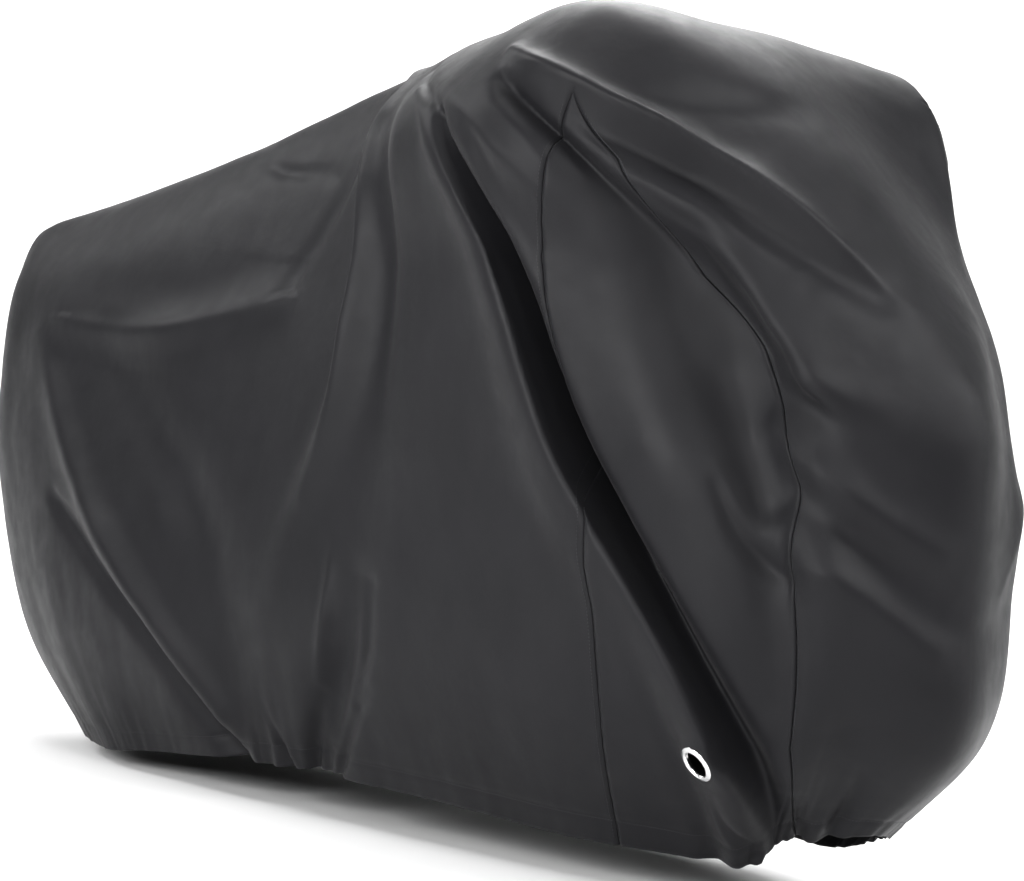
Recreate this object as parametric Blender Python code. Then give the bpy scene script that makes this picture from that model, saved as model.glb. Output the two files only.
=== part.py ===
"""Bicycle cover, draped: a hollow shell of coated cloth, open underneath.

One large body cloth runs over the top, the tail and the nose.  In each side a long
triangular gore is let into it, and each gore carries one lock eyelet near the hem.

The cloth is described by two cloth coordinates:
    along  metres round a side, measured at waist height from the tail to the nose
    down   0 on the crest (the line over the top), 1 at the hem
Every table below uses design coordinates: x forward from the rear axle, a half width
to each side, and z up from the ground.  The finished part is moved so that its origin
lies under the top, where the handlebar holds the cover up.
"""
import math

import bpy
import numpy as np

# ---------------------------------------------------------------- driving sizes (m)
CLOTH = 0.0020                # thickness of the shell
SEAM_GAP = 0.0009             # clearance between a gore and the body
HELD_AT = (0.955, 0.0, 1.087)  # where the handlebar holds the cover up

RIGHT, LEFT = -1, 1           # sign of y on each side
LENGTH_ALONG = 2.10           # tail to nose

# ---------------------------------------------------------------- drape of the cloth
LEVELS = dict(crest=0.0, brow=0.11, shoulder=0.20, chest=0.42, waist=0.63, skirt=0.86, hem=1.0)

# A row for each section: where it stands along the side, then (x, half width, z) at each level.
SECTIONS = dict(
    tail=(0.00, dict(
        crest=(-.385, 0, .742), brow=(-.407, 0, .718), shoulder=(-.406, 0, .66),
        chest=(-.407, 0, .50), waist=(-.384, 0, .34), skirt=(-.292, 0, .14), hem=(-.182, 0, .032))),
    heel=(0.13, dict(
        crest=(-.345, 0, .753), brow=(-.358, .055, .735), shoulder=(-.358, .085, .67),
        chest=(-.360, .10, .50), waist=(-.326, .105, .34), skirt=(-.226, .11, .14), hem=(-.112, .095, .026))),
    rack=(0.32, dict(
        crest=(-.24, 0, .787), brow=(-.24, .062, .765), shoulder=(-.24, .115, .70),
        chest=(-.225, .155, .53), waist=(-.19, .17, .35), skirt=(-.09, .18, .15), hem=(.01, .16, .020))),
    flank=(0.62, dict(
        crest=(.08, 0, .882), brow=(.08, .06, .862), shoulder=(.085, .115, .79),
        chest=(.09, .175, .60), waist=(.10, .215, .39), skirt=(.12, .22, .17), hem=(.15, .18, .036))),
    saddle=(0.92, dict(
        crest=(.395, 0, .998), brow=(.395, .045, .985), shoulder=(.40, .09, .92),
        chest=(.41, .16, .71), waist=(.41, .22, .47), skirt=(.40, .24, .21), hem=(.39, .19, .058))),
    lap=(1.20, dict(
        crest=(.67, 0, 1.058), brow=(.675, .128, 1.061), shoulder=(.655, .240, .983),
        chest=(.66, .255, .74), waist=(.68, .26, .49), skirt=(.70, .25, .22), hem=(.70, .185, .062))),
    bar=(1.46, dict(
        crest=(.955, 0, 1.089), brow=(.925, .18, 1.093), shoulder=(.90, .287, 1.0),
        chest=(.93, .285, .78), waist=(.96, .265, .52), skirt=(1.0, .24, .23), hem=(1.0, .155, .052))),
    fork=(1.72, dict(
        crest=(1.16, 0, .945), brow=(1.14, .12, .93), shoulder=(1.11, .205, .89),
        chest=(1.16, .16, .72), waist=(1.23, .19, .49), skirt=(1.24, .16, .21), hem=(1.17, .085, .055))),
    cheek=(1.97, dict(
        crest=(1.34, 0, .745), brow=(1.33, .08, .73), shoulder=(1.325, .13, .68),
        chest=(1.36, .13, .56), waist=(1.375, .13, .42), skirt=(1.35, .105, .22), hem=(1.25, .05, .087))),
    nose=(2.10, dict(
        crest=(1.395, 0, .68), brow=(1.415, 0, .65), shoulder=(1.427, 0, .61),
        chest=(1.435, 0, .50), waist=(1.435, 0, .38), skirt=(1.420, 0, .21), hem=(1.315, 0, .104))),
)

# The handlebar is turned a little, so three sections lie otherwise on the left.
SECTIONS_LEFT = dict(
    bar=(1.46, dict(
        crest=(.955, 0, 1.089), brow=(.955, .18, 1.072), shoulder=(.975, .318, 1.045),
        chest=(.985, .257, .78), waist=(.98, .265, .52), skirt=(1.0, .24, .23), hem=(1.0, .155, .052))),
    fork=(1.72, dict(
        crest=(1.16, 0, .945), brow=(1.13, .145, .92), shoulder=(1.135, .252, .865),
        chest=(1.18, .233, .73), waist=(1.235, .21, .49), skirt=(1.24, .17, .21), hem=(1.168, .095, .060))),
    cheek=(1.97, dict(
        crest=(1.34, 0, .745), brow=(1.33, .09, .73), shoulder=(1.322, .14, .68),
        chest=(1.357, .146, .56), waist=(1.373, .142, .42), skirt=(1.352, .137, .21),
        hem=(1.262, .088, .090))),
)

# ---------------------------------------------------------------- main folds
# A row for each fold: its side, its path as (along, down) points, the half width at both
# ends, the height at the start, middle and end (minus goes inward), and its shape:
#   round  a soft ridge or trough
#   sharp  a crease with a narrow crest
#   lap    cloth that swells up to a lip on the rear side of the path and drops behind it
FOLDS = (
    # name, side, path
    # widths, heights, shape
    ("deep_groove", RIGHT, ((1.29, .25), (1.345, .34), (1.41, .46), (1.482, .62), (1.587, .76), (1.708, .90),
                            (1.782, .99)),
     (.016, .034), (.002, .040, .012), "lap"),
    ("eyelet_swell", RIGHT, ((1.55, .69), (1.63, .81), (1.688, .90), (1.74, 1.00)),
     (.034, .034), (.004, .026, .012), "round"),
    ("saddle_ridge", RIGHT, ((.97, .11), (1.06, .26), (1.095, .41), (1.07, .54), (1.01, .66), (.95, .79)),
     (.02, .04), (.006, .030, .004), "round"),
    ("saddle_trough", RIGHT, ((1.08, .16), (1.13, .36), (1.15, .56), (1.13, .75)),
     (.03, .05), (-.002, -.010, -.004), "round"),
    ("grip_ridge", RIGHT, ((1.395, .178), (1.47, .188), (1.59, .187), (1.715, .163), (1.835, .105),
                           (1.95, .05)),
     (.018, .03), (.006, .022, .004), "sharp"),
    ("under_grip", RIGHT, ((1.44, .215), (1.60, .225), (1.72, .20), (1.84, .145), (1.93, .08)),
     (.020, .028), (-.008, -.024, -.008), "round"),
    ("bonnet_roll", RIGHT, ((1.62, .27), (1.73, .245), (1.86, .16)),
     (.022, .03), (.003, .012, .003), "round"),
    ("gore_hollow", RIGHT, ((1.405, .205), (1.46, .228), (1.53, .257), (1.60, .31), (1.665, .38)),
     (.014, .024), (-.006, -.024, -.006), "round"),
    ("gore_ridge", RIGHT, ((1.31, .22), (1.355, .245), (1.46, .305), (1.56, .39), (1.60, .45)),
     (.020, .035), (.001, .010, .002), "round"),
    ("gore_crown", RIGHT, ((1.55, .42), (1.60, .54), (1.66, .66), (1.72, .78)),
     (.06, .06), (.006, .022, .006), "round"),
    ("seam_hollow", RIGHT, ((1.70, .49), (1.74, .57), (1.77, .66), (1.80, .78)),
     (.035, .04), (-.008, -.018, -.006), "round"),
    ("rack_facet", RIGHT, ((.40, .32), (.62, .385), (.82, .41)),
     (.035, .035), (.004, .014, .008), "round"),
    ("rear_hollow", RIGHT, ((.52, .42), (.66, .56), (.80, .72), (.88, .86)),
     (.05, .05), (-.005, -.014, -.01), "round"),
    ("tail_fold", RIGHT, ((.34, .36), (.50, .60), (.66, .77), (.84, .94)),
     (.035, .035), (.004, .016, .01), "round"),
    ("tail_crease", RIGHT, ((.42, .62), (.60, .76), (.74, .87), (.88, 1.00)),
     (.015, .025), (-.004, -.014, -.016), "round"),
    ("hem_hollow", RIGHT, ((1.12, .76), (1.10, .86), (1.03, 1.00)),
     (.03, .03), (-.006, -.02, -.014), "round"),
    ("nose_ridge_one", RIGHT, ((1.78, .52), (1.86, .505), (1.945, .495), (2.04, .51)),
     (.028, .035), (.008, .010, .004), "round"),
    ("nose_ridge_two", RIGHT, ((1.78, .63), (1.86, .64), (1.935, .655), (2.05, .69)),
     (.028, .035), (.008, .010, .004), "round"),
    ("nose_hollow", RIGHT, ((1.83, .56), (1.95, .56), (2.07, .61)),
     (.025, .035), (-.008, -.014, -.004), "round"),
    ("nose_low", RIGHT, ((1.90, .74), (1.96, .84), (2.00, .95)),
     (.05, .05), (-.008, -.018, -.01), "round"),
    ("saddle_ridge", LEFT, ((.95, .10), (1.00, .30), (1.02, .50), (1.00, .80)),
     (.022, .05), (.006, .026, .004), "round"),
    ("groove", LEFT, ((1.10, .16), (1.28, .34), (1.42, .55), (1.50, .76), (1.55, .97)),
     (.035, .05), (-.008, -.026, -.01), "round"),
    ("grip_ridge", LEFT, ((1.43, .195), (1.56, .20), (1.70, .21), (1.84, .17)),
     (.02, .035), (.003, .005, .002), "round"),
    ("rear_hollow", LEFT, ((.48, .40), (.62, .58), (.74, .80)),
     (.06, .055), (-.006, -.02, -.008), "round"),
    ("tail_fold", LEFT, ((.30, .34), (.42, .62), (.52, .90)),
     (.04, .04), (.004, .016, .006), "round"),
    ("front_hollow", LEFT, ((1.66, .42), (1.72, .60), (1.74, .84)),
     (.05, .05), (-.006, -.02, -.006), "round"),
    ("nose_ridge", LEFT, ((1.82, .36), (1.94, .52), (1.98, .76)),
     (.045, .05), (.004, .008, .003), "round"),
)

# ---------------------------------------------------------------- gores and seams
GORE_APEX = 0.20              # how far down the two seams of a gore meet
GORE_TIP = 0.16               # the gore starts this far along the first cell below the apex
# A row for each height: down, then where the rear and the front seam run along the side.
SEAM_ROWS = (
    # down  rear   front
    (0.20, 1.535, 1.535),
    (0.25, 1.532, 1.622),
    (0.33, 1.502, 1.658),
    (0.38, 1.478, 1.688),
    (0.42, 1.470, 1.765),
    (0.48, 1.475, 1.800),
    (0.56, 1.490, 1.825),
    (0.66, 1.505, 1.805),
    (0.76, 1.515, 1.812),
    (0.86, 1.508, 1.818),
    (0.93, 1.498, 1.870),
    (1.00, 1.490, 1.940),
)

# ---------------------------------------------------------------- eyelets
EYELET_ALONG, EYELET_DOWN = 1.650, 0.875   # centre, in the gore
EYELET_HOLE = 0.0170          # radius of the opening
EYELET_FLANGE = 0.0250        # radius of the outer flange
EYELET_BARREL = 0.0194        # outer radius of the barrel
CLOTH_HOLE = 0.0198           # radius of the hole cut in the gore
SEAT = 0.0285                 # radius of the flat seat round it
EYELET_CLEAR = 0.0003         # clearance between the flanges and the cloth
EYELET_DOME = 0.0026          # height of the outer flange at its crown
EYELET_SHOULDER = 0.0016      # height of its two edges
EYELET_BACK = 0.0020          # height of the inner flange at its crown
EYELET_BACK_EDGE = 0.0012     # height of its two edges
EYELET_ROUNDING = 0.0008      # how far the outer edge draws in
SEAT_REACH = 0.022            # the seat lies along the cloth this far round its centre
EYELET_STEPS = 16

# ---------------------------------------------------------------- grid of the shell
# How the columns behind the rear seam are spread: share of the way from tail to seam, column.
REAR_SPREAD = ((0.0, 0), (0.15, 5), (0.57, 16), (1.0, 31))
FRONT_COLUMNS = 9
GORE_COLUMNS = 12
ROWS = (0.0, .035, .075, .115, .155, .20, .245, .295, .35, .405, .46, .52, .58, .64, .70, .755,
        .800, .8375, .875, .9125, .955, 1.0)
APEX_ROW = ROWS.index(GORE_APEX)
EYELET_ROW = ROWS.index(EYELET_DOWN)
EYELET_BLOCK = 2              # cells replaced by the eyelet seat, each way from its centre


def smooth(t):
    """Soft step from 0 to 1."""
    t = np.clip(t, 0.0, 1.0)
    return t * t * (3.0 - 2.0 * t)


def spline_weights(t, knots):
    """Index and four weights of a smooth curve through points that stand at the knots."""
    i = np.clip(np.searchsorted(knots, t, side="right") - 1, 1, len(knots) - 3)
    before, start, end, after = knots[i - 1], knots[i], knots[i + 1], knots[i + 2]
    span = end - start
    s = (t - start) / span
    stay, leave = 2 * s**3 - 3 * s**2 + 1, s**3 - 2 * s**2 + s
    come, arrive = -2 * s**3 + 3 * s**2, s**3 - s**2

    def slope(a, b, c):
        back, ahead = b - a, c - b
        wa, wc = ahead / (back + ahead) / back, back / (back + ahead) / ahead
        return -wa, wa - wc, wc

    s0, s1, s2 = slope(before, start, end)
    e1, e2, e3 = slope(start, end, after)
    return i, (leave * span * s0,
               stay + leave * span * s1 + arrive * span * e1,
               come + leave * span * s2 + arrive * span * e2,
               arrive * span * e3)


def control_net(sections):
    """Heights, half widths and places of a side's sections as one array."""
    return np.array([[places[level] for level in LEVELS] for _, places in sections.values()], float)


def build_nets():
    """Control points of both sides, each carried on past its edges by its other side."""
    own = {}
    for side, sections in ((RIGHT, SECTIONS), (LEFT, {**SECTIONS, **SECTIONS_LEFT})):
        own[side] = control_net(sections)
        own[side][..., 1] *= side
    nets = {}
    for side in (RIGHT, LEFT):
        mine, other = own[side], own[-side]
        mine = np.concatenate([other[1:2], mine, other[-2:-1]], axis=0)
        other = np.concatenate([own[side][1:2], other, own[side][-2:-1]], axis=0)
        past_hem = 2 * mine[:, -1:] - mine[:, -2:-1]
        nets[side] = np.concatenate([other[:, 1:2], mine, past_hem], axis=1)
    return nets


def carried_on(knots):
    """Knots with one more at each end."""
    return np.array([2 * knots[0] - knots[1], *knots, 2 * knots[-1] - knots[-2]])


NETS = build_nets()
ALONG_KNOTS = carried_on([where for where, _ in SECTIONS.values()])
DOWN_KNOTS = carried_on(list(LEVELS.values()))


def base_point(side, along, down):
    """Point of the unfolded drape."""
    along, down = np.broadcast_arrays(np.asarray(along, float), np.asarray(down, float))
    i, across = spline_weights(along, ALONG_KNOTS)
    j, drop = spline_weights(down, DOWN_KNOTS)
    net = NETS[side]
    return sum((across[a] * drop[b])[..., None] * net[i - 1 + a, j - 1 + b]
               for a in range(4) for b in range(4))


NEAR_END, NEAR_CREST = 0.020, 0.012   # where the two sides' normals begin to merge
STEP = 0.004                          # step of the slopes, in cloth coordinates


def one_side_normal(side, along, down):
    along = np.clip(along, NEAR_END, LENGTH_ALONG - NEAR_END)
    down = np.clip(down, NEAR_CREST, 1.0)
    round_it = base_point(side, along + STEP, down) - base_point(side, along - STEP, down)
    down_it = base_point(side, along, down + STEP) - base_point(side, along, down - STEP)
    normal = np.cross(round_it, down_it) * side
    return normal / np.linalg.norm(normal, axis=-1, keepdims=True)


def base_normal(side, along, down):
    """Outward normal of the unfolded drape, shared by both sides where they meet."""
    along, down = np.broadcast_arrays(np.asarray(along, float), np.asarray(down, float))
    own = one_side_normal(side, along, down)
    both = own + one_side_normal(-side, along, down)
    both /= np.linalg.norm(both, axis=-1, keepdims=True)
    share = np.minimum(np.minimum(along, LENGTH_ALONG - along) / NEAR_END, down / NEAR_CREST)
    share = np.clip(share, 0.0, 1.0)[..., None]
    normal = share * own + (1 - share) * both
    return normal / np.linalg.norm(normal, axis=-1, keepdims=True)


PATH_STEPS = 40


def fold_path(side, path):
    """A fold's route as a smooth line of points on the drape, with its normals."""
    stops = np.array(path, float)
    knots = np.arange(len(stops), dtype=float)
    knots = np.array([-1.0, *knots, knots[-1] + 1])
    stops = np.concatenate([[2 * stops[0] - stops[1]], stops, [2 * stops[-1] - stops[-2]]])
    i, weights = spline_weights(np.linspace(0, len(path) - 1, PATH_STEPS), knots)
    route = sum(weights[k][:, None] * stops[i - 1 + k] for k in range(4))
    along, down = np.clip(route[:, 0], 0, LENGTH_ALONG), np.clip(route[:, 1], 0, 1)
    return base_point(side, along, down), base_normal(side, along, down)


def fold_profile(shape, offset, width):
    """Height of a fold of height 1, at an offset across it: plus is its front side."""
    if shape == "round":
        return np.exp(-(offset / width) ** 2)
    if shape == "sharp":
        return np.exp(-(np.sqrt(offset**2 + 0.006**2) - 0.006) / width)
    fall = smooth((offset + 0.5 * width) / (1.3 * width))
    lip = np.exp(-(np.minimum(offset + 0.5 * width, 0) / (1.8 * width)) ** 2) * (1.0 - fall)
    drop = np.exp(-(np.maximum(offset / width - 0.8, 0) / 0.75) ** 2) * fall
    return 0.5 * lip - drop


def prepare_folds():
    folds = []
    for _, side, path, widths, heights, shape in FOLDS:
        points, normals = fold_path(side, path)
        share = np.linspace(0, 1, len(points))
        width = np.interp(share, (0, 1), widths)
        height = np.interp(share, (0, .5, 1), heights)
        folds.append((side, points, normals, width, height, shape))
    return folds


FOLD_LINES = prepare_folds()


def fold_height(points):
    """Sum of the folds' heights at points of the drape."""
    flat = points.reshape(-1, 3)
    total = np.zeros(len(flat))
    for side, line, line_normals, widths, heights, shape in FOLD_LINES:
        reach = 4.0 * widths.max()
        near = np.all((flat > line.min(0) - reach) & (flat < line.max(0) + reach), axis=1)
        if not near.any():
            continue
        picked = flat[near]
        starts, steps = line[:-1], np.diff(line, axis=0)
        t = ((picked[:, None] - starts) * steps).sum(-1) / (steps**2).sum(-1)
        t = np.clip(t, 0, 1)
        gaps = picked[:, None] - (starts + t[..., None] * steps)
        nearest = np.argmin((gaps**2).sum(-1), axis=1)
        rows = np.arange(len(picked))
        gap, t = gaps[rows, nearest], t[rows, nearest]
        across = np.cross(steps[nearest], line_normals[nearest]) * side
        offset = np.linalg.norm(gap, axis=-1) * np.where((gap * across).sum(-1) < 0, -1, 1)
        width = widths[nearest] + t * (widths[nearest + 1] - widths[nearest])
        height = heights[nearest] + t * (heights[nearest + 1] - heights[nearest])
        total[near] += height * fold_profile(shape, offset, width)
    return total.reshape(points.shape[:-1])


def cloth_point(side, along, down):
    """Point of the outer face, with its folds."""
    point = base_point(side, along, down)
    normal = base_normal(side, along, down)
    return point + fold_height(point)[..., None] * normal


def cloth_normal(side, along, down):
    """Outward normal of the folded cloth."""
    along, down = np.broadcast_arrays(np.asarray(along, float), np.asarray(down, float))
    inner_along = np.clip(along, NEAR_END, LENGTH_ALONG - NEAR_END)
    inner_down = np.clip(down, NEAR_CREST, 1.0 - STEP)

    def one(which):
        round_it = (cloth_point(which, inner_along + STEP, inner_down)
                    - cloth_point(which, inner_along - STEP, inner_down))
        down_it = (cloth_point(which, inner_along, inner_down + STEP)
                   - cloth_point(which, inner_along, inner_down - STEP))
        normal = np.cross(round_it, down_it) * which
        return normal / np.linalg.norm(normal, axis=-1, keepdims=True)

    own = one(side)
    both = own + one(-side)
    share = np.minimum(np.minimum(along, LENGTH_ALONG - along) / NEAR_END, down / NEAR_CREST)
    share = np.clip(share, 0.0, 1.0)[..., None]
    normal = share * own + (1 - share) * both / np.linalg.norm(both, axis=-1, keepdims=True)
    return normal / np.linalg.norm(normal, axis=-1, keepdims=True)


def seams(down):
    """Where the rear and the front seam run at a height."""
    heights, rear, front = np.array(SEAM_ROWS).T
    return np.interp(down, heights, rear), np.interp(down, heights, front)


# ---------------------------------------------------------------- meshes
def shell_mesh(name, outer, normals, faces):
    """Closed solid of one sheet: its outer faces, a copy inside it, and walls at every edge."""
    count = len(outer)
    inner = outer - CLOTH * normals
    inside = [tuple(count + v for v in reversed(face)) for face in faces]
    used = {}
    for face in faces:
        for a, b in zip(face, face[1:] + face[:1]):
            used[(a, b)] = True
    walls = []
    for a, b in used:
        if (b, a) in used:
            continue
        if outer[a][2] > outer[b][2]:   # both sides of a seam split their walls alike
            walls += [(b, a, count + b), (a, count + a, count + b)]
        else:
            walls += [(b, a, count + a), (b, count + a, count + b)]
    mesh = bpy.data.meshes.new(name)
    mesh.from_pydata(np.concatenate([outer, inner]).tolist(), [], list(faces) + inside + walls)
    mesh.validate()
    return mesh


def add_object(name, mesh, material):
    thing = bpy.data.objects.new(name, mesh)
    bpy.context.scene.collection.objects.link(thing)
    mesh.materials.append(material)
    mesh.shade_smooth()
    mesh.set_sharp_from_angle(angle=math.radians(60))
    return thing


def split_quad(points, quad, middle=None):
    """Two triangles, along the diagonal that lies nearer to the cloth's own middle point."""
    a, b, c, d = quad
    if middle is None:
        middle = points[list(quad)].mean(axis=0)
    one = np.linalg.norm((points[a] + points[c]) / 2 - middle)
    other = np.linalg.norm((points[b] + points[d]) / 2 - middle)
    if one <= other:
        return [(a, b, c), (a, c, d)]
    return [(a, b, d), (b, c, d)]


class Sheet:
    """Vertices of a sheet, made once each, and its faces."""

    def __init__(self):
        self.keys, self.places = {}, []
        self.faces = []

    def vertex(self, key, side, along, down):
        if key not in self.keys:
            self.keys[key] = len(self.places)
            self.places.append((side, along, down))
        return self.keys[key]

    def middles(self, side, quads):
        """Points of the cloth in the middle of some cells of one side."""
        cells = np.array([[self.places[v][1:] for v in quad] for quad in quads])
        return cloth_point(side, cells[..., 0].mean(axis=1), cells[..., 1].mean(axis=1))

    def resolve(self):
        """Outer points and normals of all vertices."""
        points, normals = np.zeros((len(self.places), 3)), np.zeros((len(self.places), 3))
        for side in (RIGHT, LEFT):
            rows = [k for k, place in enumerate(self.places) if place[0] == side]
            if rows:
                along = np.array([self.places[k][1] for k in rows])
                down = np.array([self.places[k][2] for k in rows])
                points[rows] = cloth_point(side, along, down)
                normals[rows] = cloth_normal(side, along, down)
        return points, normals


def rear_share(column):
    shares, columns = np.array(REAR_SPREAD).T
    return float(np.interp(column, columns, shares))


REAR_COLUMNS = REAR_SPREAD[-1][1]


def make_body(material):
    """The large cloth: both sides in one, with a slot in each for its gore."""
    sheet = Sheet()
    shared = set()

    def corner(side, row, block, column):
        down = ROWS[row]
        rear, front = seams(down)
        if row <= APEX_ROW and block == "front" and column == 0:
            block, column = "rear", REAR_COLUMNS
        if block == "rear":
            along = rear * rear_share(column)
        else:
            along = front + (LENGTH_ALONG - front) * column / FRONT_COLUMNS
        on_middle = row == 0 or (block == "rear" and column == 0) \
            or (block == "front" and column == FRONT_COLUMNS)
        side = RIGHT if on_middle else side
        vertex = sheet.vertex((side, row, block, column), side, along, down)
        if on_middle:
            shared.add(vertex)
        return vertex

    quads = {RIGHT: [], LEFT: []}
    for side in (RIGHT, LEFT):
        for row in range(len(ROWS) - 1):
            for block, columns in (("rear", REAR_COLUMNS), ("front", FRONT_COLUMNS)):
                for column in range(columns):
                    quad = [corner(side, row, block, column), corner(side, row + 1, block, column),
                            corner(side, row + 1, block, column + 1), corner(side, row, block, column + 1)]
                    quads[side].append(quad if side == RIGHT else quad[::-1])
    points, normals = sheet.resolve()
    faces = []
    for side in (RIGHT, LEFT):
        for quad, middle in zip(quads[side], sheet.middles(side, quads[side])):
            for diagonal, other in ((quad[0::2], quad[1::2]), (quad[1::2], quad[0::2])):
                if shared.issuperset(diagonal):   # both sides would use this edge
                    middle = points[other].mean(axis=0)
            faces += split_quad(points, quad, middle)
    return add_object("body", shell_mesh("body", points - HELD_AT, normals, faces), material)


def eyelet_frame(side):
    """Centre and axes of the eyelet's seat: outward, forward and down the cloth."""
    centre = cloth_point(side, EYELET_ALONG, EYELET_DOWN)
    forward = (cloth_point(side, EYELET_ALONG + SEAT_REACH, EYELET_DOWN)
               - cloth_point(side, EYELET_ALONG - SEAT_REACH, EYELET_DOWN))
    downward = (cloth_point(side, EYELET_ALONG, EYELET_DOWN + SEAT_REACH)
                - cloth_point(side, EYELET_ALONG, EYELET_DOWN - SEAT_REACH))
    outward = np.cross(forward, downward) * side
    outward /= np.linalg.norm(outward)
    forward -= outward * (forward @ outward)
    forward /= np.linalg.norm(forward)
    return centre, outward, forward, np.cross(outward, forward)


def make_gore(side, name, material):
    """The triangular panel between the seams, with the eyelet's hole in a flat seat."""
    sheet = Sheet()
    rows = range(APEX_ROW, len(ROWS))

    def corner(row, column):
        rear, front = seams(ROWS[row])
        along = rear + (front - rear) * column / GORE_COLUMNS
        return sheet.vertex((row, column), side, along, ROWS[row])

    grid = {(row, column): corner(row, column) for row in rows for column in range(GORE_COLUMNS + 1)}
    points, normals = sheet.resolve()
    # The tip row moves from the apex onto the chords of the slot below it.
    for column in range(GORE_COLUMNS + 1):
        tip, below = grid[APEX_ROW, column], grid[APEX_ROW + 1, column]
        points[tip] += GORE_TIP * (points[below] - points[tip])
        normals[tip] += GORE_TIP * (normals[below] - normals[tip])
    # Both long edges stand back from the body by the seam gap.
    for column, inward in ((0, 1), (GORE_COLUMNS, -1)):
        edge = [grid[row, column] for row in rows]
        runs = np.gradient(points[edge], axis=0)
        back = np.cross(runs, normals[edge]) * side * inward
        back /= np.linalg.norm(back, axis=1, keepdims=True)
        points[edge] += SEAM_GAP * back

    rear, front = seams(EYELET_DOWN)
    middle = round((EYELET_ALONG - rear) / (front - rear) * GORE_COLUMNS)
    centre, outward, forward, across = eyelet_frame(side)

    def in_seat(row, column):
        return abs(row + .5 - EYELET_ROW) < EYELET_BLOCK and abs(column + .5 - middle) < EYELET_BLOCK

    quads = []
    for row in rows[:-1]:
        for column in range(GORE_COLUMNS):
            if not in_seat(row, column):
                quad = [grid[row, column], grid[row + 1, column],
                        grid[row + 1, column + 1], grid[row, column + 1]]
                quads.append(quad if side == RIGHT else quad[::-1])
    faces = []
    for quad, middle_point in zip(quads, sheet.middles(side, quads)):
        faces += split_quad(points, quad, middle_point)

    # Round the seat: the block's rim, then a flat ring down to the hole.
    low, high = -EYELET_BLOCK, EYELET_BLOCK
    walk = ([(low, c) for c in range(low, high)] + [(r, high) for r in range(low, high)]
            + [(high, c) for c in range(high, low, -1)] + [(r, low) for r in range(high, low, -1)])
    rim = [grid[EYELET_ROW + r, middle + c] for r, c in walk]
    rings = [rim]
    angles = [math.atan2((points[v] - centre) @ across, (points[v] - centre) @ forward) for v in rim]
    turn = np.unwrap(angles)
    even = turn[0] + np.linspace(0, 2 * math.pi, len(rim), endpoint=False) * np.sign(turn[-1] - turn[0])
    extra_points, extra_normals = [], []
    for radius, spread in ((SEAT, 0.5), (CLOTH_HOLE, 0.0)):
        ring = []
        for spun, level in zip(turn, even):
            angle = spread * spun + (1 - spread) * level
            ring.append(len(points) + len(extra_points))
            extra_points.append(centre + radius * (math.cos(angle) * forward + math.sin(angle) * across))
            extra_normals.append(outward)
        rings.append(ring)
    points = np.concatenate([points, extra_points])
    normals = np.concatenate([normals, extra_normals])
    for outer_ring, inner_ring in zip(rings, rings[1:]):
        for k in range(len(rim)):
            n = (k + 1) % len(rim)
            quad = [outer_ring[k], inner_ring[k], inner_ring[n], outer_ring[n]]
            faces += split_quad(points, quad if side == RIGHT else quad[::-1])
    used = sorted({v for face in faces for v in face})
    number = {v: k for k, v in enumerate(used)}
    faces = [tuple(number[v] for v in face) for face in faces]
    mesh = shell_mesh(name, points[used] - HELD_AT, normals[used], faces)
    return add_object(name, mesh, material)


def make_eyelet(side, name, material):
    """A pressed eyelet: flange outside, barrel through the cloth, flange inside."""
    centre, outward, forward, across = eyelet_frame(side)
    lid, back = EYELET_CLEAR, -CLOTH - EYELET_CLEAR
    inner_flange = EYELET_FLANGE - EYELET_ROUNDING
    section = (   # (radius, height above the outer face), round the ring's section
        (EYELET_FLANGE, lid), (inner_flange, lid + EYELET_SHOULDER),
        (EYELET_BARREL, lid + EYELET_DOME), (EYELET_HOLE, lid + EYELET_SHOULDER),
        (EYELET_HOLE, back - EYELET_BACK_EDGE), (EYELET_BARREL, back - EYELET_BACK),
        (inner_flange - EYELET_ROUNDING, back - EYELET_BACK_EDGE), (inner_flange, back),
        (EYELET_BARREL, back), (EYELET_BARREL, lid))
    points, faces = [], []
    count = len(section)
    for step in range(EYELET_STEPS):
        angle = 2 * math.pi * step / EYELET_STEPS
        ray = math.cos(angle) * forward + math.sin(angle) * across
        points += [centre - HELD_AT + radius * ray + height * outward for radius, height in section]
        ahead = (step + 1) % EYELET_STEPS
        for k in range(count):
            n = (k + 1) % count
            faces.append((step * count + k, ahead * count + k, ahead * count + n, step * count + n))
    mesh = bpy.data.meshes.new(name)
    mesh.from_pydata([tuple(p) for p in points], [], faces)
    mesh.validate()
    return add_object(name, mesh, material)


def make_material(name, colour, roughness, metallic=0.0):
    material = bpy.data.materials.new(name)
    material.use_nodes = True
    shader = material.node_tree.nodes["Principled BSDF"]
    shader.inputs["Base Color"].default_value = (*colour, 1.0)
    shader.inputs["Roughness"].default_value = roughness
    shader.inputs["Metallic"].default_value = metallic
    return material


def main():
    for thing in list(bpy.data.objects):
        bpy.data.objects.remove(thing)
    cloth = make_material("cloth", (0.035, 0.035, 0.039), 0.5)
    chrome = make_material("chrome", (0.75, 0.76, 0.78), 0.2, 1.0)
    make_body(cloth)
    for side, word in ((RIGHT, "right"), (LEFT, "left")):
        make_gore(side, f"gore_{word}", cloth)
        make_eyelet(side, f"eyelet_{word}", chrome)


main()
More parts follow.
